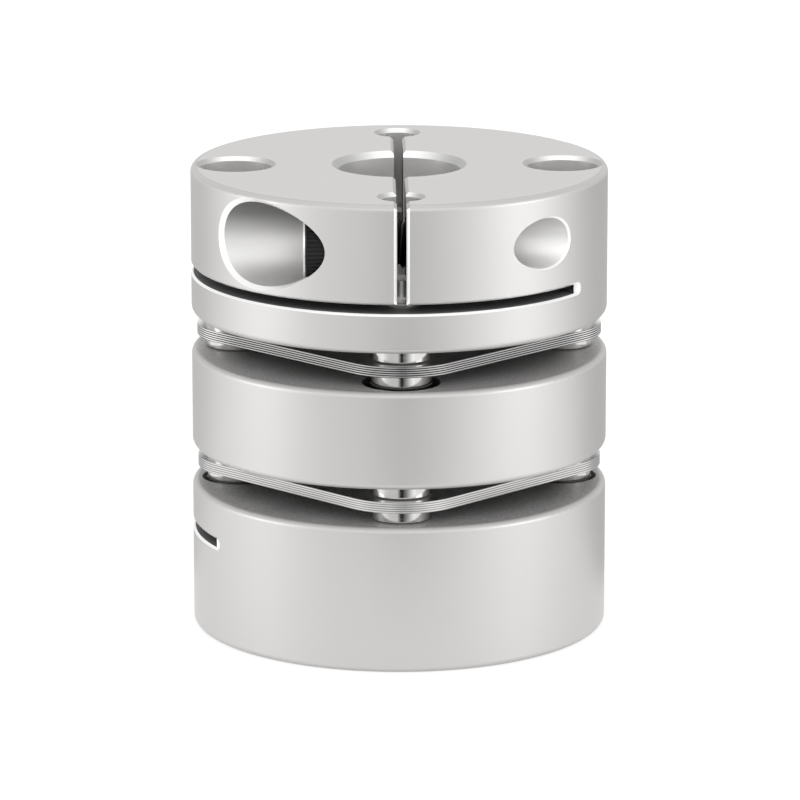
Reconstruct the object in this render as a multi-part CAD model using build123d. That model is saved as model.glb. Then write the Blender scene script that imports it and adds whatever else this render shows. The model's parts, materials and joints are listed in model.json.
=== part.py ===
from build123d import *

import os
from math import cos, isclose, radians, sin

# All lengths are millimetres.  +Z is the shaft axis, the lower hub stands on z = 0,
# and the clamp screw of the upper hub lies across the front, at -Y.

# ---- hubs ------------------------------------------------------------------------
OUTER_D = 68.0            # outside diameter of the hubs and the spacer
BORE_D = 20.0             # shaft bore of each hub
BORE_CHAMFER = 1.0        # lead-in at the outer end of the bore
CLAMP_HEIGHT = 16.0       # split part of a hub, which closes on the shaft
SLOT_HEIGHT = 1.5         # saw slot between the clamp part and the flange
FLANGE_HEIGHT = 6.5       # whole disc at the inner end, which carries the leaf pack
SLIT_WIDTH = 1.5          # upright slit through one side of the clamp part
EDGE_ROUND = 1.0          # rounded outside corners of the hubs and the spacer
SLIT_CHAMFER = 0.5        # broken edges of the upright slit
SLOT_CHAMFER = 0.35       # broken edges of the saw slot

SLOT_MIDDLE = 31.0        # direction from which the saw cuts, degrees left of the slit
SLOT_REACH = 86.0         # the slot opens this many degrees to each side of SLOT_MIDDLE
SLOT_PAST_BORE = 2.0      # the slot runs this far past the bore
SLOT_END_RELIEF = 1.5     # the broken edge runs on this many degrees past each slot end

# ---- clamp screw -----------------------------------------------------------------
CLAMP_SCREW_D = 8.0
CLAMP_SCREW_LENGTH = 25.0
CLAMP_HEAD_HEIGHT = 8.0
CLAMP_SOCKET_AF = 6.0     # across the flats of the hexagon socket
CLAMP_SCREW_INSET = 9.2   # from the outside diameter to the screw axis
CLAMP_SEAT = 7.5          # from the slit plane to the floor of the counterbore
COUNTERBORE_CLEARANCE = 0.25  # round the screw head
COUNTERBORE_WALL = 1.25   # metal left above and below the counterbore
CLAMP_HOLE_CLEARANCE = 0.25   # round the shank, on the head side of the slit
COUNTERBORE_CHAMFER = 0.6     # broken edge where the counterbore opens on the outside
TAPPED_MOUTH_CHAMFER = 0.25   # the same where the tapped hole opens

# ---- leaf packs ------------------------------------------------------------------
LEAF_THICKNESS = 0.36
LEAF_COUNT = 5
LEAF_INSET = 0.9          # leaf corners stand back this far from the outside diameter
LEAF_CORNER_R = 11.0
LEAF_OPENING_D = 36.0
COLLAR_HEIGHT = 2.2
COLLAR_D = 10.0
COLLAR_CHAMFER = 0.25

# ---- pack bolts ------------------------------------------------------------------
BOLT_CIRCLE_INSET = 7.4   # from the outside diameter to the bolts' axes
BOLT_D = 6.0
BOLT_HEAD_D = 10.0
BOLT_HEAD_HEIGHT = 6.0
BOLT_SOCKET_AF = 5.0
ACCESS_CLEARANCE = 0.9    # round a bolt head in the access hole of a hub
RECESS_CLEARANCE = 1.3    # round a bolt head in the spacer
RELIEF_CLEARANCE = 0.25   # round the end of a hub bolt in the clamp part
BOLT_END_CLEARANCE = 1.2  # between the end of a hub bolt and the clamp screw
SPACER_BOLT_GAP = 4.4     # between the ends of two facing spacer bolts
HOLE_CHAMFER = 0.65       # broken edges of the holes in the outer end faces

# ---- spacer ----------------------------------------------------------------------
SPACER_HEIGHT = 16.0
SPACER_BORE_D = 30.0
SPACER_BORE_CHAMFER = 0.5

# ---- fits and fasteners ----------------------------------------------------------
THREAD_CLEARANCE = 0.05   # a tapped hole is this much larger in radius than its screw
PIN_CLEARANCE = 0.1       # round a bolt in a leaf or a collar
SOCKET_DEPTH_SHARE = 0.5  # hexagon socket depth as a share of the head height
SCREW_CHAMFER_SHARE = 0.1   # chamfer of a screw's end as a share of its diameter
HEAD_CHAMFER = 0.5
CUT = 1.0                 # how far a cutter runs past the face that it cuts

# ---- worked out from the above ---------------------------------------------------
OUTER_R = OUTER_D / 2
BOLT_CIRCLE_R = OUTER_R - BOLT_CIRCLE_INSET
CLAMP_SCREW_OFFSET = OUTER_R - CLAMP_SCREW_INSET   # from the shaft axis to the screw axis
CLAMP_HEAD_D = CLAMP_HEIGHT - 2 * (COUNTERBORE_WALL + COUNTERBORE_CLEARANCE)
HUB_HEIGHT = FLANGE_HEIGHT + SLOT_HEIGHT + CLAMP_HEIGHT
CLAMP_SCREW_Z = HUB_HEIGHT - CLAMP_HEIGHT / 2      # in the hub, above its pack face
PACK_HEIGHT = LEAF_COUNT * LEAF_THICKNESS
GAP = PACK_HEIGHT + 2 * COLLAR_HEIGHT              # between a hub and the spacer
SPACER_Z = HUB_HEIGHT + GAP
UPPER_HUB_Z = SPACER_Z + SPACER_HEIGHT + GAP
HUB_BOLT_LENGTH = GAP + CLAMP_SCREW_Z - CLAMP_SCREW_D / 2 - BOLT_END_CLEARANCE
SPACER_BOLT_LENGTH = GAP + (SPACER_HEIGHT - SPACER_BOLT_GAP) / 2
HUB_BOLT_ANGLES = (-90, 90)       # in front and behind, in line with the slit
SPACER_BOLT_ANGLES = (0, 180)     # to the right and to the left

UP = (Align.CENTER, Align.CENTER, Align.MIN)
DOWN = (Align.CENTER, Align.CENTER, Align.MAX)


def drill(radius, bottom, top, chamfer=0.0):
    """Upright drill from bottom to top, with a countersink of the given size at the top."""
    tool = Pos(0, 0, bottom) * Cylinder(radius, top + CUT - bottom, align=UP)
    if chamfer:
        tool += Pos(0, 0, top - chamfer) * Cone(radius, radius + chamfer + CUT, chamfer + CUT, align=UP)
    return tool


def on_bolt_circle(angle):
    """Place on the bolt circle, at an angle in degrees from +X."""
    return Pos(BOLT_CIRCLE_R * cos(radians(angle)), BOLT_CIRCLE_R * sin(radians(angle)), 0)


def across(x_from, x_to, radius):
    """Drill along X on the clamp screw's axis, from one x to another."""
    length = x_to - x_from
    place = Pos((x_from + x_to) / 2, -CLAMP_SCREW_OFFSET, CLAMP_SCREW_Z)
    return place * Rot(0, 90, 0) * Cylinder(radius, length)


def cross_drilled_blank():
    """Plain hub cylinder with the clamp screw's counterbore and holes, and their broken edges."""
    blank = Cylinder(OUTER_R, HUB_HEIGHT, align=UP)
    past = OUTER_R + CUT
    blank -= across(-past, -CLAMP_SEAT, CLAMP_HEAD_D / 2 + COUNTERBORE_CLEARANCE)
    blank -= across(0, past, CLAMP_SCREW_D / 2 + THREAD_CLEARANCE)
    for side, size in ((-1, COUNTERBORE_CHAMFER), (1, TAPPED_MOUTH_CHAMFER)):
        outside = blank.faces().sort_by(SortBy.AREA)[-1]
        mouth = [edge for wire in outside.inner_wires() for edge in wire.edges()
                 if edge.center().X * side > 0]
        blank = chamfer(mouth, size)
    return blank - across(-CLAMP_SEAT - CUT, CUT, CLAMP_SCREW_D / 2 + CLAMP_HOLE_CLEARANCE)


def split_blank():
    """Hub cylinder with rounded corners and the upright slit, whose edges are broken."""
    blank = Cylinder(OUTER_R, HUB_HEIGHT, align=UP)
    blank = fillet(blank.edges().filter_by(GeomType.CIRCLE), EDGE_ROUND)
    slit = Box(SLIT_WIDTH, BOLT_CIRCLE_R + OUTER_R + CUT, CLAMP_HEIGHT + SLOT_HEIGHT + CUT,
               align=(Align.CENTER, Align.MAX, Align.MIN))
    blank -= Pos(0, BOLT_CIRCLE_R, FLANGE_HEIGHT) * slit
    blind = (FLANGE_HEIGHT, BOLT_CIRCLE_R)
    edges = [edge for wall in blank.faces().filter_by(Axis.X) for edge in wall.edges()
             if not (isclose(edge.center().Z, blind[0]) or isclose(edge.center().Y, blind[1]))]
    return chamfer(edges, SLIT_CHAMFER)


def saw():
    """The saw slot: a disc that runs in from one side past the bore, and its broken edges."""
    half_chord = OUTER_R * sin(radians(SLOT_REACH))
    chord_in_front = OUTER_R * cos(radians(SLOT_REACH))
    depth = chord_in_front + BORE_D / 2 + SLOT_PAST_BORE
    radius = (half_chord ** 2 + depth ** 2) / (2 * depth)
    reach = radius - depth + chord_in_front
    disc = Pos(0, -reach, FLANGE_HEIGHT) * Cylinder(radius, SLOT_HEIGHT, align=UP)

    half = SLOT_HEIGHT / 2
    root = OUTER_R - SLOT_CHAMFER
    tip = OUTER_R + CUT
    flare = half + SLOT_CHAMFER + CUT
    section = Plane.XZ * Polygon((root, -half), (tip, -flare), (tip, flare), (root, half), align=None)
    sweep = 2 * (SLOT_REACH + SLOT_END_RELIEF)
    groove = Rot(0, 0, -90 - sweep / 2) * revolve(section, Axis.Z, sweep)
    for side in (-1, 1):
        end = Rot(0, 0, -90 + side * sweep / 2) * Pos(root, 0, 0) * Rot(0, 90, 0)
        groove += end * Cone(half, flare, tip - root, align=UP)
    return Rot(0, 0, -SLOT_MIDDLE) * (disc + Pos(0, 0, FLANGE_HEIGHT + half) * groove)


def hub():
    """Clamp hub, standing on its pack face, with its outer end face up."""
    body = cross_drilled_blank() & split_blank()
    body -= saw()
    body -= drill(BORE_D / 2, -CUT, HUB_HEIGHT, BORE_CHAMFER)
    access = drill(BOLT_HEAD_D / 2 + ACCESS_CLEARANCE, -CUT, HUB_HEIGHT, HOLE_CHAMFER)
    for angle in SPACER_BOLT_ANGLES:
        body -= on_bolt_circle(angle) * access
    relief = drill(BOLT_D / 2 + RELIEF_CLEARANCE, FLANGE_HEIGHT, HUB_HEIGHT, HOLE_CHAMFER)
    tapped = drill(BOLT_D / 2 + THREAD_CLEARANCE, -CUT, FLANGE_HEIGHT)
    for angle in HUB_BOLT_ANGLES:
        body -= on_bolt_circle(angle) * (relief + tapped)
    return body


def spacer():
    """Ring between the two packs: tapped for its own bolts, bored out for the hub bolts' heads."""
    body = Cylinder(OUTER_R, SPACER_HEIGHT, align=UP)
    body = fillet(body.edges().filter_by(GeomType.CIRCLE), EDGE_ROUND)
    body -= Cylinder(SPACER_BORE_D / 2, SPACER_HEIGHT, align=UP)
    wall = body.faces().filter_by(GeomType.CYLINDER).sort_by(SortBy.AREA)[0]
    body = chamfer(wall.edges().filter_by(GeomType.CIRCLE), SPACER_BORE_CHAMFER)
    for angle in SPACER_BOLT_ANGLES:
        body -= on_bolt_circle(angle) * drill(BOLT_D / 2 + THREAD_CLEARANCE, -CUT, SPACER_HEIGHT)
    for angle in HUB_BOLT_ANGLES:
        body -= on_bolt_circle(angle) * drill(BOLT_HEAD_D / 2 + RECESS_CLEARANCE, -CUT, SPACER_HEIGHT)
    return body


def leaf():
    """One thin leaf: a square with wide round corners, lying under the four bolts."""
    corner = OUTER_R - LEAF_INSET - LEAF_CORNER_R
    outline = make_hull([
        edge
        for angle in HUB_BOLT_ANGLES + SPACER_BOLT_ANGLES
        for edge in (Rot(0, 0, angle) * Pos(corner, 0, 0) * Circle(LEAF_CORNER_R)).edges()
    ])
    outline -= Circle(LEAF_OPENING_D / 2)
    for angle in HUB_BOLT_ANGLES + SPACER_BOLT_ANGLES:
        outline -= on_bolt_circle(angle) * Circle(BOLT_D / 2 + PIN_CLEARANCE)
    return extrude(outline, LEAF_THICKNESS)


def collar():
    """Ring that keeps the pack off its neighbour, standing on z = 0."""
    ring = Cylinder(COLLAR_D / 2, COLLAR_HEIGHT, align=UP)
    ring = chamfer(ring.edges().filter_by(GeomType.CIRCLE), COLLAR_CHAMFER)
    return ring - Cylinder(BOLT_D / 2 + PIN_CLEARANCE, COLLAR_HEIGHT, align=UP)


def socket_screw(diameter, length, head_d, head_height, across_flats):
    """Socket head cap screw: the head bears on z = 0 and the shank points down."""
    head = Cylinder(head_d / 2, head_height, align=UP)
    head = chamfer(head.edges().filter_by(GeomType.CIRCLE).sort_by(Axis.Z)[-1:], HEAD_CHAMFER)
    depth = head_height * SOCKET_DEPTH_SHARE
    socket = RegularPolygon(across_flats / 2, 6, major_radius=False)
    head -= Pos(0, 0, head_height - depth) * extrude(socket, depth + CUT)
    shank = Cylinder(diameter / 2, length, align=DOWN)
    shank = chamfer(shank.edges().filter_by(GeomType.CIRCLE).sort_by(Axis.Z)[:1],
                    diameter * SCREW_CHAMFER_SHARE)
    return head + shank


def clamp_screw():
    """The clamp screw in its counterbore, head to the left."""
    screw = socket_screw(CLAMP_SCREW_D, CLAMP_SCREW_LENGTH, CLAMP_HEAD_D, CLAMP_HEAD_HEIGHT,
                         CLAMP_SOCKET_AF)
    return Pos(-CLAMP_SEAT, -CLAMP_SCREW_OFFSET, CLAMP_SCREW_Z) * Rot(0, -90, 0) * screw


def pack_bolt(length):
    return socket_screw(BOLT_D, length, BOLT_HEAD_D, BOLT_HEAD_HEIGHT, BOLT_SOCKET_AF)


def hub_end():
    """A hub and everything between it and the spacer, in the hub's own frame."""
    pieces = {"hub": hub(), "clamp_screw": clamp_screw()}
    for number in range(1, LEAF_COUNT + 1):
        pieces[f"leaf_{number}"] = Pos(0, 0, -COLLAR_HEIGHT - number * LEAF_THICKNESS) * leaf()

    hub_bolt = Rot(180, 0, 0) * pack_bolt(HUB_BOLT_LENGTH)
    for number, angle in enumerate(HUB_BOLT_ANGLES, 1):
        place = on_bolt_circle(angle)
        pieces[f"hub_bolt_{number}"] = place * Pos(0, 0, -GAP) * hub_bolt
        pieces[f"hub_bolt_{number}_seat_collar"] = place * Pos(0, 0, -COLLAR_HEIGHT) * collar()
        pieces[f"hub_bolt_{number}_head_collar"] = place * Pos(0, 0, -GAP) * collar()

    for number, angle in enumerate(SPACER_BOLT_ANGLES, 1):
        place = on_bolt_circle(angle)
        pieces[f"spacer_bolt_{number}"] = place * pack_bolt(SPACER_BOLT_LENGTH)
        pieces[f"spacer_bolt_{number}_seat_collar"] = place * Pos(0, 0, -GAP) * collar()
        pieces[f"spacer_bolt_{number}_head_collar"] = place * Pos(0, 0, -COLLAR_HEIGHT) * collar()
    return pieces


def coupling():
    """Both hub ends and the spacer, named and in place."""
    upper = Pos(0, 0, UPPER_HUB_Z)
    lower = Pos(0, 0, HUB_HEIGHT) * Rot(180, 0, 0)
    pieces = {"centre_spacer": Pos(0, 0, SPACER_Z) * spacer()}
    for name, piece in hub_end().items():
        pieces[f"upper_{name}"] = upper * piece
        pieces[f"lower_{name}"] = lower * piece
    return pieces


os.makedirs("parts", exist_ok=True)
for name, piece in coupling().items():
    export_step(piece, f"parts/{name}.step")
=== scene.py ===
import json
import math

import bmesh
import bpy
from mathutils import Matrix, Vector


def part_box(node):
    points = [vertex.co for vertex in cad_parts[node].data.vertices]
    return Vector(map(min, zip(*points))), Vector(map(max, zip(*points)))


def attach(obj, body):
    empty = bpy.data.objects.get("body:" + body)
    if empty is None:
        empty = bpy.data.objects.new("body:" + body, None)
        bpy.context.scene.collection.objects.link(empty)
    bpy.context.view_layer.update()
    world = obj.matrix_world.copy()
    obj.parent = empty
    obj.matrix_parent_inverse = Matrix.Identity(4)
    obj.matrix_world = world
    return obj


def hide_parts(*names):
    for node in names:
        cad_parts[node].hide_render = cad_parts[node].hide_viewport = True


MM = 0.001
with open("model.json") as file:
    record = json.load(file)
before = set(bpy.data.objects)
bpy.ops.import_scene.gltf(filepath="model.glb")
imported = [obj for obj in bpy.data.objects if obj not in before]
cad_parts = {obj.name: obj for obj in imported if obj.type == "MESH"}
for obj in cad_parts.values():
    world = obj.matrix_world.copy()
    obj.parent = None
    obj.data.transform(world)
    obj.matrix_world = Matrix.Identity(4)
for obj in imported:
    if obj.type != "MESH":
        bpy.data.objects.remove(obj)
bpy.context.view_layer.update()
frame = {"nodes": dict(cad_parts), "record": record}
nodes = frame["nodes"]

# ---- sizes that the frame gives, in metres -----------------------------------------
hub_low, hub_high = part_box("upper_hub")
lower_hub_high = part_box("lower_hub")[1]
spacer_low, spacer_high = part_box("centre_spacer")
leaf_low, leaf_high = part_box("upper_leaf_1")
lower_leaf_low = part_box("lower_leaf_1")[0]
screw_low, screw_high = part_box("upper_clamp_screw")
bolt_low, bolt_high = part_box("upper_spacer_bolt_1")
bore = next(mount for mount in frame["record"]["mounts"] if mount["name"] == "upper_bore")

OUTER_R = hub_high.x
TOP = hub_high.z
HUB_HEIGHT = hub_high.z - hub_low.z
SPACER_HEIGHT = spacer_high.z - spacer_low.z
LEAF_THICKNESS = leaf_high.z - leaf_low.z
BORE_R = bore["dims"]["r_mm"] * MM
BOLT_CIRCLE_R = (bolt_low.x + bolt_high.x) / 2
SCREW_Y = (screw_low.y + screw_high.y) / 2
SCREW_Z = (screw_low.z + screw_high.z) / 2 - hub_low.z     # above the hub's pack face

# ---- the parts' own sizes ----------------------------------------------------------
EDGE_ROUND = 1.0 * MM              # rounded corners of the hubs and the spacer
SLIT_HALF = 0.75 * MM              # from the slit's middle to its walls
HOLE_CHAMFER = 1.2 * MM            # broken edges in the end face reach no deeper
ROUND_HOLES = ((BOLT_CIRCLE_R, 0.0), (-BOLT_CIRCLE_R, 0.0), (0.0, BOLT_CIRCLE_R), (0.0, -BOLT_CIRCLE_R))
ACCESS_R, CLEARANCE_R, TAPPED_R = 5.9 * MM, 3.25 * MM, 3.05 * MM
RECESS_R = 6.3 * MM                # recesses round the collars, in the faces that look at the packs
ROUND_RADII = (ACCESS_R, CLEARANCE_R, TAPPED_R, RECESS_R)
COUNTERBORE_R = 6.75 * MM
CROSS_RADII = (COUNTERBORE_R, 4.25 * MM, 4.05 * MM)        # of the clamp screw's holes
THREAD_SEEN_FROM = 8.0 * MM        # nearer to the slit than this, the tapped hole is dark with painted shade

# ---- how near is near enough -------------------------------------------------------
SAME = 0.05 * MM                   # two sizes this close are one and the same
SQUARE = 0.02                      # a wall's normal leans less than this out of square
FLAT = 0.999                       # a flat face's normal is at least this close to its axis

ORIGIN = Vector((0, 0, 0))
UP = Vector((0, 0, 1))
ALONG = Vector((1, 0, 0))


# ---- nodes as Python expressions ---------------------------------------------------
class Wire:
    """A value in a tree of nodes. Sums on it add Math nodes to its owner's tree."""

    def __init__(self, owner, socket):
        self.owner, self.socket = owner, socket

    def maths(self, operation, first, second=0.0):
        return self.owner.node("ShaderNodeMath", {"operation": operation}, {0: first, 1: second})

    def __add__(self, other):
        return self.maths("ADD", self, other)

    def __radd__(self, other):
        return self.maths("ADD", other, self)

    def __sub__(self, other):
        return self.maths("SUBTRACT", self, other)

    def __rsub__(self, other):
        return self.maths("SUBTRACT", other, self)

    def __mul__(self, other):
        return self.maths("MULTIPLY", self, other)

    def __rmul__(self, other):
        return self.maths("MULTIPLY", other, self)

    def __truediv__(self, other):
        return self.maths("DIVIDE", self, other)

    def __rtruediv__(self, other):
        return self.maths("DIVIDE", other, self)

    def size(self):
        return self.maths("ABSOLUTE", self)

    def sign(self):
        return self.maths("SIGN", self)

    def fraction(self):
        return self.maths("FRACT", self)

    def remainder(self, other):
        return self.maths("MODULO", self, other)

    def larger(self, other):
        return self.maths("MAXIMUM", self, other)

    def exceeds(self, other):
        return self.maths("GREATER_THAN", self, other)

    def step(self, low, high, start=0.0, end=1.0):
        """Smooth change from start at low to end at high, held outside that span."""
        return self.owner.node("ShaderNodeMapRange", {"interpolation_type": "SMOOTHSTEP"},
                               {"Value": self, "From Min": low, "From Max": high,
                                "To Min": start, "To Max": end})

    def band(self, low, full_from, full_to, high):
        """1 from full_from to full_to, and 0 below low and above high."""
        return self.step(low, full_from) - self.step(full_to, high)


class NodeTree:
    """A tree whose nodes all come from one method."""

    def __init__(self, tree):
        self.tree = tree

    def node(self, kind, settings=None, inputs=None, out=0):
        """Adds a node with its settings, then its sockets' values or links, and gives one output."""
        made = self.tree.nodes.new(kind)
        for name, value in (settings or {}).items():
            setattr(made, name, value)
        for name, value in (inputs or {}).items():
            socket = made.inputs[name]
            if isinstance(value, Wire):
                self.tree.links.new(value.socket, socket)
            elif socket.type == "RGBA":
                socket.default_value = (*value, 1.0)
            else:
                socket.default_value = value
        return Wire(self, made.outputs[out]) if made.outputs else None

    def parts(self, vector):
        """The x, y and z of a vector."""
        split = self.node("ShaderNodeSeparateXYZ", {}, {"Vector": vector}).socket.node
        return [Wire(self, split.outputs[axis]) for axis in "XYZ"]


# ---- finishes ----------------------------------------------------------------------
MIX_FACTOR, MIX_FIRST, MIX_SECOND, MIX_COLOUR = 0, 6, 7, 2     # sockets of a Mix node, whose names repeat


class Finish(NodeTree):
    """One procedural material, on Object coordinates in metres."""

    def __init__(self, name):
        self.material = bpy.data.materials.new(name)
        self.material.use_nodes = True
        super().__init__(self.material.node_tree)
        self.tree.nodes.clear()
        self.place = self.node("ShaderNodeTexCoord", out="Object")
        self.x, self.y, self.z = self.parts(self.place)

    def stretched(self, x, y, z):
        """The place on the object, with each axis scaled by its own number."""
        return self.node("ShaderNodeVectorMath", {"operation": "MULTIPLY"}, {0: self.place, 1: (x, y, z)})

    def radius(self):
        """Distance from the shaft axis."""
        flat = self.stretched(1.0, 1.0, 0.0)
        return self.node("ShaderNodeVectorMath", {"operation": "LENGTH"}, {0: flat}, "Value")

    def upper_half(self):
        """1 above the spacer's middle and 0 below it."""
        return self.z.step(TOP / 2 - MM, TOP / 2 + MM)

    def facing(self, axis="Z"):
        """How far the surface faces along an axis: for Z, 1 is a floor, 0 a wall and -1 a ceiling."""
        normal = self.node("ShaderNodeNewGeometry", out="Normal")
        return self.node("ShaderNodeSeparateXYZ", {}, {"Vector": normal}, axis)

    def noise(self, scale, detail=2.0, roughness=0.5, vector=None):
        """Noise of about 0..1 whose lumps are 1/scale metres across."""
        return self.node("ShaderNodeTexNoise", {},
                         {"Vector": vector or self.place, "Scale": scale, "Detail": detail,
                          "Roughness": roughness})

    def streaks(self, x, y, z, detail=2.0, roughness=0.5):
        """Noise with a scale of its own along each axis, drawn out where that is small."""
        return self.noise(1.0, detail, roughness, self.stretched(x, y, z))

    def tool_marks(self, along, feed, wander, soft):
        """A ridge for each feed of the tool along a value, with soft edges and a little wandering."""
        return (along * (1 / feed) + wander).fraction().step(soft, 1.0 - soft)

    def blend(self, factor, first, second):
        """The first colour where the factor is 0 and the second where it is 1."""
        return self.node("ShaderNodeMix", {"data_type": "RGBA"},
                         {MIX_FACTOR: factor, MIX_FIRST: first, MIX_SECOND: second}, MIX_COLOUR)

    def shade(self, colour, factor):
        """The colour made lighter or darker by a factor near 1."""
        grey = self.node("ShaderNodeCombineColor", {}, {0: factor, 1: factor, 2: factor})
        return self.node("ShaderNodeMix", {"data_type": "RGBA", "blend_type": "MULTIPLY"},
                         {MIX_FACTOR: 1.0, MIX_FIRST: colour, MIX_SECOND: grey}, MIX_COLOUR)

    def bump(self, height, depth):
        """Bumps whose height of 1 stands for this depth in metres."""
        return self.node("ShaderNodeBump", {}, {"Height": height, "Distance": depth, "Strength": 1.0})

    def done(self, colour, roughness, normal=None, metallic=0.0):
        """The material, ended with a Principled shader."""
        inputs = {"Base Color": colour, "Roughness": roughness, "Metallic": metallic}
        if normal is not None:
            inputs["Normal"] = normal
        return self.shown(self.node("ShaderNodeBsdfPrincipled", {}, inputs))

    def shown(self, shader):
        """The material, ended with this shader."""
        self.node("ShaderNodeOutputMaterial", {}, {"Surface": shader})
        return self.material


def blasted_aluminium():
    """Bead-blasted and clear anodised: fine grain, faint clouds, and rougher corners, darkened a little by
    painted shade, with a painted shade line where they start.
    """
    f = Finish("blasted_aluminium")
    grain = f.noise(5200.0, 1.0)
    pits = f.noise(1500.0, 3.0, 0.6)
    clouds = f.noise(70.0, 3.0, 0.55)
    streaks = f.streaks(140.0, 140.0, 18.0)
    inset = OUTER_R - f.radius()
    # The rounded corners: rougher, and darkened a little by painted shade.
    corner = inset.band(0.01 * MM, 0.2 * MM, 0.7 * MM, 1.2 * MM)
    # Painted shade: a dark line where the rounding starts.
    painted_shade_line = inset.band(0.55 * MM, 0.85 * MM, 0.95 * MM, 1.10 * MM)
    tone = 0.965 + grain * 0.03 + clouds * 0.03 + streaks * 0.012 - corner * 0.06 - painted_shade_line * 0.09
    colour = f.shade((0.592, 0.583, 0.574), tone)
    roughness = 0.40 + pits * 0.06 + clouds * 0.05 + corner * 0.20
    normal = f.bump(grain * 0.6 + pits * 0.4, 0.012 * MM)
    return f.done(colour, roughness, normal, metallic=1.0)


def rubbed_edge():
    """Broken edges, cut after the blasting and left bright."""
    f = Finish("rubbed_edge")
    lines = f.streaks(900.0, 900.0, 5000.0)
    colour = f.shade((0.92, 0.92, 0.915), 0.96 + lines * 0.06)
    return f.done(colour, 0.30 + lines * 0.10, f.bump(lines, 0.004 * MM), metallic=1.0)


def turned_bore():
    """Bore walls with fine turning rings, and their broken corners, with painted shade on the corners that
    face left and right.
    """
    f = Finish("turned_bore")
    rings = f.tool_marks(f.z, 0.18 * MM, f.noise(300.0) * 0.5, 0.1)
    clouds = f.noise(160.0, 3.0)
    # Painted shade: corners that face up and to the left or right are darker.
    painted_side_shade = f.facing("X").size().step(0.15, 0.68) * f.facing().step(0.3, 0.6)
    tone = (0.92 + clouds * 0.12 + rings * 0.03) * (1.0 - painted_side_shade * 0.45)
    colour = f.shade((0.84, 0.835, 0.825), tone)
    return f.done(colour, 0.36 + clouds * 0.10, f.bump(rings, 0.004 * MM), metallic=1.0)


def drilled_wall():
    """Walls of the cross holes: smooth, with faint rings, and painted shade that darkens them most overhead.

    Painted light makes the screw's hole at the left lighter with depth, and the tapped one lighter all round."""
    f = Finish("drilled_wall")
    rings = f.tool_marks(f.x, 0.25 * MM, f.noise(260.0) * 0.6, 0.15)
    clouds = f.noise(220.0, 3.0)
    up = f.facing()
    # Painted shade: darkest where the wall faces down, a little darker where it faces straight up.
    painted_shade_factor = up.step(-0.66, 0.16, 0.31, 1.0) * up.step(0.5, 1.0, 1.0, 0.85)
    # Painted light: the lower half of the screw's hole gets lighter deeper in.
    deep = f.x.size().step(17.0 * MM, 28.0 * MM, 0.24, 0.0) * up.step(-0.3, 0.3)
    tapped = f.x.step(-MM, MM)
    # Painted light: the tapped hole is lighter all round.
    light = painted_shade_factor * (1.0 + deep) * (1.0 - tapped) + (painted_shade_factor * 0.55 + 0.62) * tapped
    colour = f.shade((0.80, 0.795, 0.785), (0.95 + clouds * 0.07 + rings * 0.015) * light)
    return f.done(colour, 0.50 + clouds * 0.10, f.bump(rings, 0.002 * MM), metallic=1.0)


def sawn_wall():
    """Walls of the slit, the saw slot and the deep holes: saw marks under dark painted shade, darkest on the
    walls.
    """
    f = Finish("sawn_wall")
    marks = f.streaks(600.0, 600.0, 2600.0, roughness=0.6)
    clouds = f.noise(240.0, 3.0)
    # Painted shade: upright walls darkest, floors and ceilings a little less dark.
    painted_shade_level = f.facing().size().step(0.3, 0.7, 0.085, 0.15)
    colour = f.shade((1.0, 0.995, 0.985), (0.75 + clouds * 0.4 + marks * 0.2) * painted_shade_level)
    return f.done(colour, 0.60 + marks * 0.12, f.bump(marks, 0.006 * MM))


def pack_face():
    """Turned faces that look at the leaf packs: fine rings, under painted shade that is deeper further in and
    on the faces below the spacer's middle.
    """
    f = Finish("pack_face")
    radius = f.radius()
    rings = f.tool_marks(radius, 0.22 * MM, f.noise(180.0) * 0.4, 0.1)
    clouds = f.noise(90.0, 4.0)
    grain = f.noise(2600.0, 1.0)
    # Painted shade: darker further in, and darker below the spacer's middle.
    painted_shade_factor = radius.step(20.0 * MM, 31.0 * MM, 0.55, 1.0) * (0.88 + f.upper_half() * 0.12)
    colour = f.shade((0.40, 0.394, 0.392), (0.42 + clouds * 0.2 + grain * 0.96) * painted_shade_factor)
    return f.done(colour, 0.45 + clouds * 0.1, f.bump(rings * 0.5 + grain * 0.5, 0.004 * MM), metallic=0.3)


def leaf_steel():
    """Cold-rolled stainless leaves: rolled grain on the faces, a dark line where two edges meet.

    Painted shade gives the upper pack darker lines and duller edges, and painted light brightens those edges
    at their ends at the left and right."""
    f = Finish("leaf_steel")
    grain = f.streaks(400.0, 6000.0, 6000.0, 3.0, 0.6)
    clouds = f.noise(120.0)
    upper = f.upper_half()
    upper_level = (f.z - leaf_low.z) / LEAF_THICKNESS
    lower_level = (f.z - lower_leaf_low.z) / LEAF_THICKNESS
    across = (upper_level * upper + lower_level * (1.0 - upper)).fraction()
    # Painted shade: the joints of the upper pack are darker than those of the lower one.
    joint = ((across - 0.5).size() * 2.0).step(0.32, 0.70) * (0.6 + upper * 0.4)
    dark = joint * f.facing().size().step(0.2, 0.6, 1.0, 0.0)
    # Painted light: the ends of the upper pack's edges at the left and right.
    ends = f.x.size().step(26.0 * MM, 33.0 * MM)
    tone = (0.90 + grain * 0.14 + clouds * 0.06) * (0.68 - upper * 0.22 + upper * ends * 0.55)
    colour = f.blend(dark, f.shade((1.0, 0.992, 0.975), tone), (0.02, 0.02, 0.02))
    return f.done(colour, 0.24 + grain * 0.10 + dark * 0.3, f.bump(grain, 0.002 * MM), metallic=1.0)


def turned_steel():
    """Bolt heads and collars: polished, with faint turning lines."""
    f = Finish("turned_steel")
    lines = f.streaks(300.0, 300.0, 9000.0)
    clouds = f.noise(300.0, 3.0)
    colour = f.shade((0.66, 0.655, 0.645), 0.82 + lines * 0.12 + clouds * 0.24)
    return f.done(colour, 0.05 + lines * 0.05 + clouds * 0.03, f.bump(lines, 0.0015 * MM), metallic=1.0)


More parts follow.
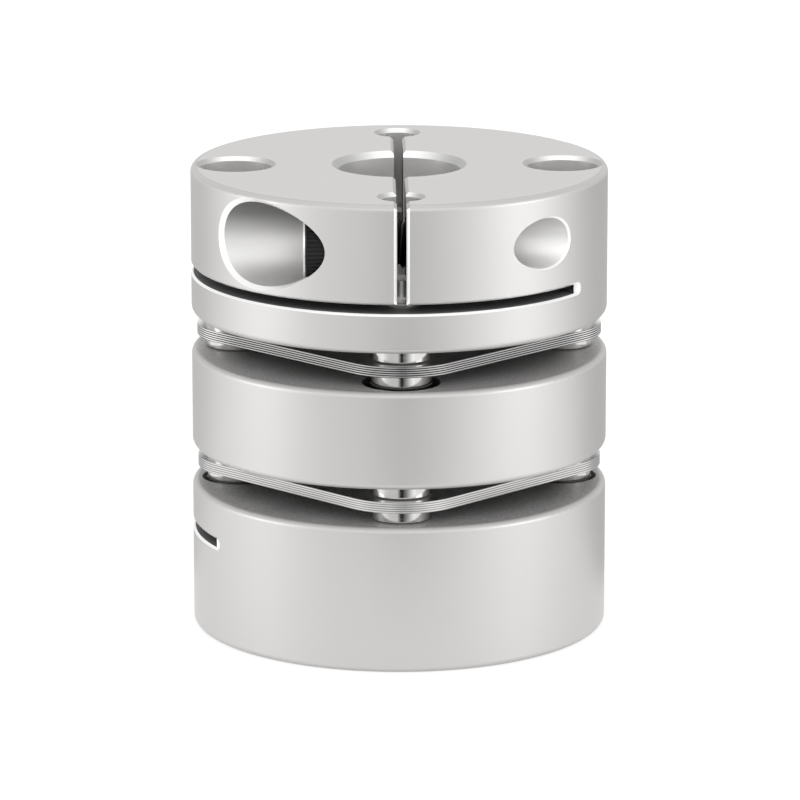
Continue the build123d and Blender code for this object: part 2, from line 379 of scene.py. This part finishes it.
def zinc_thread():
    """Threads of the bolts: zinc, duller than their heads."""
    f = Finish("zinc_thread")
    clouds = f.noise(400.0, 3.0)
    return f.done(f.shade((0.62, 0.615, 0.605), 0.85 + clouds * 0.3), 0.34 + clouds * 0.1, metallic=1.0)


def black_oxide():
    """Blackened steel, lightly oiled."""
    f = Finish("black_oxide")
    grain = f.noise(2600.0, 3.0, 0.6)
    clouds = f.noise(350.0, 3.0)
    colour = f.shade((0.012, 0.012, 0.013), 0.6 + clouds * 0.9)
    return f.done(colour, 0.30 + grain * 0.15 + clouds * 0.05, f.bump(grain, 0.006 * MM), metallic=0.7)


def worn_edge():
    """Corners of the blackened screw, with a painted highlight in steel colour round the top of its head."""
    f = Finish("worn_edge")
    highlight_band = f.x.step(screw_low.x + 0.16 * MM, screw_low.x + 0.32 * MM, 1.0, 0.0)
    painted_highlight = highlight_band * f.noise(1800.0, 3.0, 0.6).step(0.2, 0.5, 0.6, 1.0)
    colour = f.blend(painted_highlight, (0.02, 0.02, 0.021), (0.66, 0.66, 0.66))
    return f.done(colour, 0.28 + painted_highlight * 0.08, metallic=1.0)


FINISHES = {make.__name__: make() for make in (
    blasted_aluminium, rubbed_edge, turned_bore, drilled_wall, sawn_wall, pack_face,
    leaf_steel, turned_steel, zinc_thread, black_oxide, worn_edge)}


# ---- hubs and spacer: a finish for each face, true normals on round ones -----------
MACHINED_FINISHES = ("blasted_aluminium", "rubbed_edge", "turned_bore",
                     "drilled_wall", "sawn_wall", "pack_face")


def smooth_but_sharp(bm, degrees):
    """Shades faces smooth, but for the edges that bend more than this angle."""
    for face in bm.faces:
        face.smooth = True
    for edge in bm.edges:
        edge.smooth = len(edge.link_faces) == 2 and edge.calc_face_angle(0.0) < math.radians(degrees)


def merged_copy(node):
    """Copy of a node's mesh with its points merged."""
    bm = bmesh.new()
    bm.from_mesh(nodes[node].data)
    bmesh.ops.remove_doubles(bm, verts=bm.verts, dist=0.002 * MM)
    smooth_but_sharp(bm, degrees=28.0)
    mesh = bpy.data.meshes.new(node + "_dressed")
    bm.to_mesh(mesh)
    bm.free()
    mesh.materials.clear()
    return mesh


def dress(node, mesh, finishes):
    """Shows a mesh in place of a node, with finishes that its faces' material indices count."""
    piece = bpy.data.objects.new(node + "_dressed", mesh)
    bpy.context.scene.collection.objects.link(piece)
    for name in finishes:
        mesh.materials.append(FINISHES[name])
    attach(piece, "root")
    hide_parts(node)


class Surface:
    """What one face of a hub or the spacer was cut with, and the true normal at its corners."""

    def __init__(self, finish, normal=None):
        self.finish, self.normal = finish, normal


def towards(axis_point, axis):
    """Normal of a hole's round wall, which points at the hole's axis."""
    def normal(point):
        off = axis_point - point
        return (off - axis * off.dot(axis)).normalized()
    return normal


def from_rounding(point, height):
    """To a point from the middle of its corner's rounding, or from EDGE_ROUND under the outer wall."""
    middle = Vector((point.x, point.y, 0.0)).normalized() * (OUTER_R - EDGE_ROUND)
    middle.z = min(max(point.z, EDGE_ROUND), height - EDGE_ROUND)
    return point - middle


def outside_surface(point, normal, height):
    """The outer wall and the rounded corners that hubs and spacer share, or None."""
    off = from_rounding(point, height)
    agrees = off.normalized().dot(normal)              # 1 for a face that lies along the true surface
    if math.hypot(point.x, point.y) < OUTER_R - EDGE_ROUND or agrees < 0.75:
        return None
    deepest = 4 * SAME if agrees > 0.93 else SAME      # long flat faces lie deeper under the rounding
    if abs(off.length - EDGE_ROUND) > deepest:
        return None
    return Surface("blasted_aluminium", lambda p: from_rounding(p, height).normalized())


def upright_hole(point, normal):
    """A wall of the holes on the bolt circle, or None."""
    for x, y in ROUND_HOLES:
        away = math.hypot(point.x - x, point.y - y)
        if abs(normal.z) < SQUARE and min(abs(away - r) for r in ROUND_RADII) < SAME:
            # The recess walls round the collars get the dark painted shade.
            finish = "sawn_wall" if abs(away - RECESS_R) < SAME else "turned_bore"
            return Surface(finish, towards(Vector((x, y, 0)), UP))
    return None


def cross_hole(point, normal):
    """A wall of the clamp screw's holes, or None. They lie across a hub, along x."""
    off = Vector((0.0, point.y - SCREW_Y, point.z - SCREW_Z))
    fits = min(abs(off.length - r) for r in CROSS_RADII) < SAME
    looks_in = -off.normalized().dot(normal)
    if not fits or abs(normal.x) > SQUARE or looks_in < 0.99:
        return None
    drilled = point.x > THREAD_SEEN_FROM or abs(off.length - COUNTERBORE_R) < SAME
    axis_point = Vector((0, SCREW_Y, SCREW_Z))
    return Surface("drilled_wall" if drilled else "sawn_wall", towards(axis_point, ALONG))


def hub_surface(point, normal):
    """The surface that a face of a hub belongs to, in the hub's own frame: pack face down, at z = 0."""
    found = outside_surface(point, normal, HUB_HEIGHT) or cross_hole(point, normal)
    if found:
        return found
    if abs(normal.z) > FLAT:
        if point.z > HUB_HEIGHT - SAME:
            return Surface("blasted_aluminium", lambda p: UP)
        # Flat faces inside the saw slot and the recesses get the dark painted shade.
        return Surface("pack_face" if point.z < SAME else "sawn_wall")
    if abs(normal.z) < SQUARE and abs(math.hypot(point.x, point.y) - BORE_R) < SAME:
        return Surface("turned_bore", towards(ORIGIN, UP))
    hole = upright_hole(point, normal)
    if hole:
        return hole
    if abs(normal.x) > FLAT:
        # Faces across x: the slit's walls get the dark painted shade, the others the drilled finish.
        return Surface("sawn_wall" if abs(point.x) < SLIT_HALF + SAME else "drilled_wall")
    if normal.z > 0.5 and point.z > HUB_HEIGHT - HOLE_CHAMFER:
        return Surface("turned_bore")
    return Surface("rubbed_edge")


def spacer_surface(point, normal):
    """The surface that a face of the spacer belongs to, in a frame whose z = 0 is its lower face."""
    found = outside_surface(point, normal, SPACER_HEIGHT) or upright_hole(point, normal)
    if found:
        return found
    if abs(normal.z) > FLAT:
        return Surface("pack_face")
    if abs(normal.z) < SQUARE:
        return Surface("turned_bore", towards(ORIGIN, UP))
    return Surface("rubbed_edge")


def dress_machined(node, to_own, surface_of):
    """Dresses a hub or the spacer: each face gets its finish, each corner its true normal."""
    mesh = merged_copy(node)
    turn = to_own.to_3x3()
    back = turn.inverted()
    normals = [Vector(n.vector) for n in mesh.corner_normals]
    for face in mesh.polygons:
        surface = surface_of(to_own @ face.center, turn @ face.normal)
        face.material_index = MACHINED_FINISHES.index(surface.finish)
        if surface.normal:
            for corner in face.loop_indices:
                point = to_own @ mesh.vertices[mesh.loops[corner].vertex_index].co
                normals[corner] = back @ surface.normal(point)
    mesh.normals_split_custom_set(normals)
    dress(node, mesh, MACHINED_FINISHES)


def moved(x, y, z):
    return Matrix.Translation((x, y, z))


OVER = Matrix.Rotation(math.pi, 4, "X")        # turns a part end for end
dress_machined("upper_hub", moved(0, 0, -hub_low.z), hub_surface)
dress_machined("lower_hub", OVER @ moved(0, 0, -lower_hub_high.z), hub_surface)
dress_machined("centre_spacer", moved(0, 0, -spacer_low.z), spacer_surface)


# ---- screws: threads and knurls grown by rules -------------------------------------
THREAD_DEPTH = 0.6134          # of a metric thread, as a share of its pitch
TIP_TAPER = 0.3 * MM           # how much smaller in radius a screw's tip ends


class Growth(NodeTree):
    """A Geometry Nodes tree with named inputs, which makes plain meshes."""

    def __init__(self, name, lengths, count):
        super().__init__(bpy.data.node_groups.new(name, "GeometryNodeTree"))
        kinds = {length: "NodeSocketFloat" for length in lengths}
        kinds.update({count: "NodeSocketInt", "Finish": "NodeSocketMaterial"})
        self.ports = {}
        for port, kind in kinds.items():
            made = self.tree.interface.new_socket(port, in_out="INPUT", socket_type=kind)
            self.ports[port] = made.identifier
        self.tree.interface.new_socket("Geometry", in_out="OUTPUT", socket_type="NodeSocketGeometry")
        outputs = self.node("NodeGroupInput").socket.node.outputs
        self.given = {port: Wire(self, outputs[port]) for port in self.ports}

    def vector(self, **parts):
        return self.node("ShaderNodeCombineXYZ", {}, parts)

    def transformed(self, geometry, **changes):
        return self.node("GeometryNodeTransform", {}, {"Geometry": geometry, **changes})

    def close(self, *parts):
        """Joins the parts, makes them real and gives them their finish."""
        joined = self.node("GeometryNodeJoinGeometry")
        for part in parts:
            self.tree.links.new(part.socket, joined.socket.node.inputs["Geometry"])
        real = self.node("GeometryNodeRealizeInstances", {}, {"Geometry": joined})
        painted = self.node("GeometryNodeSetMaterial", {},
                            {"Geometry": real, "Material": self.given["Finish"]})
        self.node("NodeGroupOutput", {}, {"Geometry": painted})

    def mesh(self, **values):
        """The mesh that the tree makes with these values on its inputs."""
        seed = bpy.data.objects.new("seed", bpy.data.meshes.new("seed"))
        bpy.context.scene.collection.objects.link(seed)
        modifier = seed.modifiers.new("grow", "NODES")
        modifier.node_group = self.tree
        for name, value in values.items():
            modifier[self.ports[name]] = value
        bpy.context.view_layer.update()
        made = bpy.data.meshes.new_from_object(seed.evaluated_get(bpy.context.evaluated_depsgraph_get()))
        bpy.data.objects.remove(seed)
        return made


def shank_growth():
    """A shank that hangs from z = 0: plain, then a core with a ridge wound round it, then a tip."""
    t = Growth("threaded_shank", ("Radius", "Root", "Pitch", "Plain", "Thread", "Tip"), "Segments")
    radius, root, pitch, segments = (t.given[port] for port in ("Radius", "Root", "Pitch", "Segments"))
    plain, thread = t.given["Plain"], t.given["Thread"]
    depth = radius - root
    plain_end = plain * -1.0
    thread_end = plain_end - thread

    def rod(top_radius, end_radius, length, start):
        made = t.node("GeometryNodeMeshCone", {"fill_type": "NGON"},
                      {"Vertices": segments, "Radius Top": end_radius, "Radius Bottom": top_radius,
                       "Depth": length}, "Mesh")
        return t.transformed(made, Rotation=(math.pi, 0.0, 0.0), Translation=t.vector(Z=start))

    # A triangle whose outer corner reaches the radius, with its other two just inside the core.
    middle = root + depth * 0.30
    spiral = t.node("GeometryNodeCurveSpiral", {},
                    {"Resolution": segments, "Rotations": thread / pitch, "Start Radius": middle,
                     "End Radius": middle, "Height": thread})
    upright = t.node("GeometryNodeSetCurveNormal", {"mode": "Z_UP"}, {"Curve": spiral})
    path = t.transformed(upright, Translation=t.vector(Z=thread_end))
    triangle = t.node("GeometryNodeCurvePrimitiveCircle", {"mode": "RADIUS"},
                      {"Resolution": 3, "Radius": 1.0}, "Curve")
    outward = t.transformed(triangle, Rotation=(0.0, 0.0, math.pi))
    section = t.transformed(outward, Scale=t.vector(X=depth * 0.70, Y=pitch * 0.5, Z=1.0))
    ridge = t.node("GeometryNodeCurveToMesh", {},
                   {"Curve": path, "Profile Curve": section, "Fill Caps": True})
    t.close(rod(radius, radius, plain, 0.0), rod(root, root, thread, plain_end),
            rod(root, root - TIP_TAPER, t.given["Tip"], thread_end), ridge)
    return t


def knurl_growth():
    """A sleeve round z with straight grooves, closed at both ends by rings that reach inwards."""
    t = Growth("knurled_sleeve", ("Radius", "Depth", "Base", "Height"), "Grooves")
    radius, height = t.given["Radius"], t.given["Height"]
    half = height * 0.5
    tube = t.node("GeometryNodeMeshCylinder", {"fill_type": "NONE"},
                  {"Vertices": t.given["Grooves"] * 2.0, "Side Segments": 3, "Radius": radius,
                   "Depth": height}, "Mesh")
    # The tube has four rings of points. The end ones shrink to 0.8 of the radius, and the two
    # rings of each end come to lie at the same height.
    x, y, z = t.parts(t.node("GeometryNodeInputPosition"))
    every_other = t.node("GeometryNodeInputIndex").remainder(2.0)
    cut = every_other * (t.given["Depth"] / radius)
    ring = z.size().exceeds(half * 0.7) * (0.2 - cut)
    scale = 1.0 - cut - ring
    level = t.given["Base"] + half + z.sign() * half
    place = t.vector(X=x * scale, Y=y * scale, Z=level)
    t.close(t.node("GeometryNodeSetPosition", {}, {"Geometry": tube, "Position": place}))
    return t


SHANKS, KNURLS = shank_growth(), knurl_growth()


def joined_meshes(name, parts):
    """One mesh of several (mesh, material index or None to keep its own)."""
    bm = bmesh.new()
    for mesh, index in parts:
        start = len(bm.faces)
        bm.from_mesh(mesh)
        bm.faces.ensure_lookup_table()
        if index is not None:
            for face in bm.faces[start:]:
                face.material_index = index
    smooth_but_sharp(bm, degrees=32.0)
    made = bpy.data.meshes.new(name)
    bm.to_mesh(made)
    bm.free()
    return made


def mark_slanted(faces):
    """Gives the second finish to the broken corners of a piece turned about z, and the first to the rest."""
    for face in faces:
        face.material_index = 1 if 0.3 < abs(face.normal.z) < 0.95 else 0


def open_head(head, knurl_radius):
    """Takes the shank and the round wall off a screw, and gives the heights that the wall joined."""
    bm = bmesh.new()
    bm.from_mesh(head)
    mark_slanted(bm.faces)
    wall, shank = [], []
    for face in bm.faces:
        middle = face.calc_center_median()
        if middle.z < -SAME:
            shank.append(face)
        elif abs(face.normal.z) < SQUARE and abs(math.hypot(middle.x, middle.y) - knurl_radius) < SAME:
            wall.append(face)
    heights = [v.co.z for face in wall for v in face.verts] or [0.0]
    bmesh.ops.delete(bm, geom=wall + shank, context="FACES")
    bm.to_mesh(head)
    bm.free()
    return min(heights), max(heights)


def head_frame(low, high, height, direction):
    """Turns a screw whose head points along a direction into its own frame: head up, bearing on z = 0."""
    middle = (low + high) / 2
    if direction == "left":
        return Matrix.Rotation(math.pi / 2, 4, "Y") @ moved(-low.x - height, -middle.y, -middle.z)
    if direction == "up":
        return moved(-middle.x, -middle.y, height - high.z)
    return OVER @ moved(-middle.x, -middle.y, -low.z - height)


def dress_screw(node, direction, tip, size, pitch, plain, knurl_radius, finishes, slot):
    """Head from the frame with a threaded shank, and a knurl where its radius is given.

    The head is as high as the thread is thick. The finishes are for the head, its
    slanted corners and the shank."""
    to_own = head_frame(*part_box(node), size, direction)
    head = merged_copy(node)
    head.transform(to_own)
    length = -min(v.co.z for v in head.vertices)
    wall_low, wall_high = open_head(head, knurl_radius)
    shank = SHANKS.mesh(Radius=size / 2, Root=size / 2 - THREAD_DEPTH * pitch, Pitch=pitch, Plain=plain,
                        Thread=length - plain - tip, Tip=tip, Segments=40, Finish=FINISHES[finishes[2]])
    parts = [(head, None), (shank, 2)]
    if knurl_radius:
        sleeve = KNURLS.mesh(Radius=knurl_radius, Depth=0.2 * MM, Base=wall_low,
                             Height=wall_high - wall_low, Grooves=58, Finish=FINISHES[finishes[0]])
        parts.append((sleeve, 0))
    mesh = joined_meshes(node + "_dressed", parts)
    mesh.transform(to_own.inverted())
    dress(node, mesh, finishes)


# The clamp screw head's slanted corners carry a painted highlight.
CLAMP_SCREW = {"size": 8.0 * MM, "pitch": 1.25 * MM, "plain": 1.0 * MM, "knurl_radius": 6.5 * MM,
               "finishes": ("black_oxide", "worn_edge", "black_oxide"), "slot": "black_steel"}
# The bolts' slanted head corners get the dark painted shade.
PACK_BOLT = {"size": 6.0 * MM, "pitch": 1.0 * MM, "plain": 7.0 * MM, "knurl_radius": 0.0,
             "finishes": ("turned_steel", "sawn_wall", "zinc_thread"), "slot": "bolt_steel"}
CUT_TIP, LONG_TIP = 0.4 * MM, 2.6 * MM

for end in ("upper", "lower"):
    dress_screw(f"{end}_clamp_screw", "left", CUT_TIP, **CLAMP_SCREW)
    outwards, inwards = ("up", "down") if end == "upper" else ("down", "up")
    for kind, direction, tip in (("hub", inwards, LONG_TIP), ("spacer", outwards, CUT_TIP)):
        for number in (1, 2):
            dress_screw(f"{end}_{kind}_bolt_{number}", direction, tip, **PACK_BOLT)

for node in sorted(nodes):
    if "collar" in node:
        mesh = merged_copy(node)
        mark_slanted(mesh.polygons)
        # The collars' slanted corners get the dark painted shade.
        dress(node, mesh, ("turned_steel", "sawn_wall"))
    elif "_leaf_" in node:
        dress(node, merged_copy(node), ("leaf_steel",))


# ---- floor, light, camera ----------------------------------------------------------
WHITE = (1.0, 1.0, 1.0)


def floor():
    """Pale floor that takes shadows, and glows where it is seen directly or mirrored."""
    bpy.ops.mesh.primitive_plane_add(size=6.0, location=(0, 0, 0))
    plane = bpy.context.object
    plane.name = "floor"
    f = Finish("white_floor")
    camera_ray, glossy_ray, through_ray = (f.node("ShaderNodeLightPath", out=f"Is {kind} Ray")
                                           for kind in ("Camera", "Glossy", "Transmission"))
    seen = camera_ray.larger(glossy_ray).larger(through_ray)
    paint = f.shade((0.43, 0.43, 0.43), 0.99 + f.noise(60.0) * 0.02)
    diffuse = f.node("ShaderNodeBsdfDiffuse", {}, {"Color": paint})
    glow = f.node("ShaderNodeEmission", {}, {"Color": WHITE, "Strength": 0.62})
    glowing = f.node("ShaderNodeAddShader", {}, {0: diffuse, 1: glow})
    mixed = f.node("ShaderNodeMixShader", {}, {0: seen, 1: diffuse, 2: glowing})
    plane.data.materials.append(f.shown(mixed))


def white_world():
    """Even white light from all round."""
    world = bpy.data.worlds.new("studio")
    world.use_nodes = True
    background = world.node_tree.nodes["Background"]
    background.inputs["Color"].default_value = (*WHITE, 1.0)
    background.inputs["Strength"].default_value = 1.0
    bpy.context.scene.world = world


def softbox(name, place, aim, width, height, power):
    """Rectangular lamp at a place, aimed at a point, in metres and watts."""
    light = bpy.data.lights.new(name, "AREA")
    light.shape, light.size, light.size_y, light.energy = "RECTANGLE", width, height, power
    lamp = bpy.data.objects.new(name, light)
    bpy.context.scene.collection.objects.link(lamp)
    lamp.location = place
    lamp.rotation_euler = (Vector(aim) - Vector(place)).to_track_quat("-Z", "Y").to_euler()


def side_softbox(name, degrees, power):
    """Softbox beside the coupling, standing on the floor at an angle to the right of the front."""
    distance, width, height = 0.75, 0.36, 0.26
    angle = math.radians(degrees)
    place = (distance * math.sin(angle), -distance * math.cos(angle), height / 2)
    softbox(name, place, (0, 0, height / 2), width, height, power)


def even_card(name, tone):
    """Matt card of one grey."""
    f = Finish(name)
    return f.done(f.shade((tone, tone, tone), 0.9 + f.noise(9.0) * 0.2), 0.9)


def fading_card():
    """Black straight ahead and lighter towards both sides."""
    f = Finish("fading_card")
    right = f.x / (0.0 - f.y)
    left = 0.0 - right
    tone = right.step(0.05, 0.85) + left.step(0.03, 0.25, 0.0, 0.55) + left.step(0.6, 2.2, 0.0, 0.45)
    return f.done(f.shade(WHITE, tone + 0.01), 0.9)


def card(name, finish, left, right, near, far):
    """Card lying round the coupling between two angles from the front, seen only in mirrored light."""
    steps, level = 12, 0.4 * MM
    angles = [math.radians(left + (right - left) * n / steps) for n in range(steps + 1)]
    corners = [(r * math.sin(a), -r * math.cos(a), level) for a in angles for r in (near, far)]
    faces = [(2 * n, 2 * n + 1, 2 * n + 3, 2 * n + 2) for n in range(steps)]
    mesh = bpy.data.meshes.new(name)
    mesh.from_pydata(corners, [], faces)
    mesh.materials.append(finish)
    piece = bpy.data.objects.new(name, mesh)
    bpy.context.scene.collection.objects.link(piece)
    piece.visible_camera = piece.visible_diffuse = piece.visible_shadow = False


def camera():
    """Long lens in front of the coupling, a little to the left, above its top and looking down."""
    distance, height = 26.0 * OUTER_R, TOP + 5.2 * OUTER_R
    turn, tilt = math.radians(0.7), 0.24012
    aim_right = 0.13 * MM
    data = bpy.data.cameras.new("camera")
    data.lens, data.sensor_width = 248.9, 36.0
    eye = bpy.data.objects.new("camera", data)
    bpy.context.scene.collection.objects.link(eye)
    eye.location = (-distance * math.sin(turn), -distance * math.cos(turn), height)
    aim = Vector((aim_right, 0.0, height - distance * math.tan(tilt)))
    eye.rotation_euler = (aim - eye.location).to_track_quat("-Z", "Y").to_euler()
    bpy.context.scene.camera = eye


floor()
white_world()
side_softbox("right_softbox", degrees=67.0, power=0.92)
side_softbox("left_softbox", degrees=-78.0, power=0.82)
softbox("front_softbox", place=(0.0, -0.60, 0.62), aim=(0, 0, 0.04), width=1.2, height=0.25, power=0.95)
softbox("top_softbox", place=(0.0, 0.15, 0.9), aim=(0, 0, 0.04), width=0.9, height=0.9, power=1.1)
card("black_card", even_card("black_card", 0.008), left=-3.0, right=6.0, near=0.11, far=0.7)
fading = fading_card()
card("near_fading_card", fading, left=-75.0, right=45.0, near=0.115, far=0.165)
card("far_fading_card", fading, left=-75.0, right=45.0, near=0.205, far=0.275)
card("right_grey_card", even_card("right_grey_card", 0.5), left=106.0, right=178.0, near=0.05, far=2.9)
card("left_grey_card", even_card("left_grey_card", 0.55), left=-178.0, right=-118.0, near=0.05, far=2.9)
camera()
bpy.context.scene.view_settings.view_transform = "Standard"
